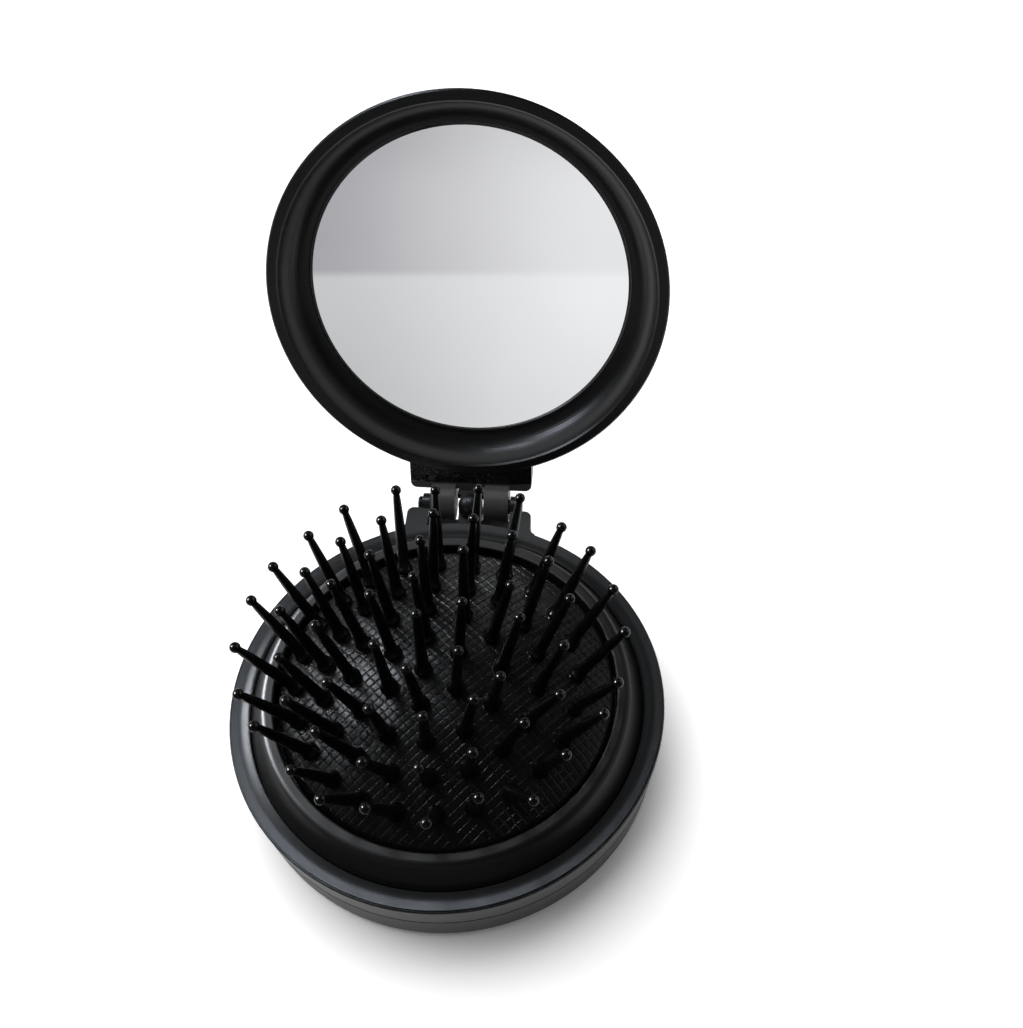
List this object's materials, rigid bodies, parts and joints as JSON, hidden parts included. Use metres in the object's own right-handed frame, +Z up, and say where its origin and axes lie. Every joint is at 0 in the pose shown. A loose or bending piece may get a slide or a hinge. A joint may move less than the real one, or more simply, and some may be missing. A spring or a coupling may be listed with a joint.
{
  "type": "folding hairbrush with mirror",
  "caption": "Round pocket hairbrush with ball-tipped pins on a rubber cushion and a hinged lid that holds a round mirror",
  "frame": {"origin": "centre of the flat foot that the base stands on, at table height", "axes": "+Z is up out of the brush pad; +Y points from the pad's middle to the hinge; +X is the right-hand side seen from the front. The lid is stored open, leaning back on its stop"},
  "size_m": [0.0684, 0.1037, 0.0796],
  "materials": {
    "shell_plastic": "satin charcoal plastic",
    "collar_plastic": "satin warm black plastic",
    "inner_plastic": "plain moulded plastic, inside",
    "pad_rubber": "black rubber with a moulded square grid",
    "pin_plastic": "glossy black nylon",
    "spring_steel": "bright spring wire",
    "lid_plastic": "satin charcoal plastic",
    "mirror_glass": "silvered glass with a narrow bevel",
    "tape": "adhesive disc, hidden",
    "hinge_pin_plastic": "smooth black stub"
  },
  "bodies": {
    "base": {"base_shell": "shell_plastic", "upper_shell": "shell_plastic", "pad_frame": "collar_plastic", "pad_retainer": "inner_plastic", "rubber_pad": "pad_rubber", "centre_pin": "pin_plastic", "pin_ring_1": "pin_plastic", "pin_ring_2": "pin_plastic", "pin_ring_3": "pin_plastic", "pin_ring_4": "pin_plastic", "lift_spring": "spring_steel"},
    "lift": {"lift_plate": "inner_plastic"},
    "lid": {"lid_frame": "lid_plastic", "lid_cover": "lid_plastic", "mirror_glass": "mirror_glass", "mirror_tape": "tape", "lid_hinge_block": "lid_plastic", "hinge_pin_left": "hinge_pin_plastic", "hinge_pin_right": "hinge_pin_plastic"}
  },
  "joints": [
    {"name": "lid_hinge", "type": "hinge", "parent": "base", "child": "lid", "pos_m": [0, 0.0385, 0.0132], "axis": [1, 0, 0], "range_deg": [0, 110]},
    {"name": "lift_slide", "type": "slide", "parent": "base", "child": "lift", "axis": [0, 0, 1], "range_m": [-0.0065, 0], "deforming": ["lift_spring", "rubber_pad", "centre_pin", "pin_ring_1", "pin_ring_2", "pin_ring_3", "pin_ring_4"]}
  ],
  "couplings": [
    {"joint": "lift_slide", "follows": "lid_hinge", "m_per_rad": -0.003385}
  ]
}
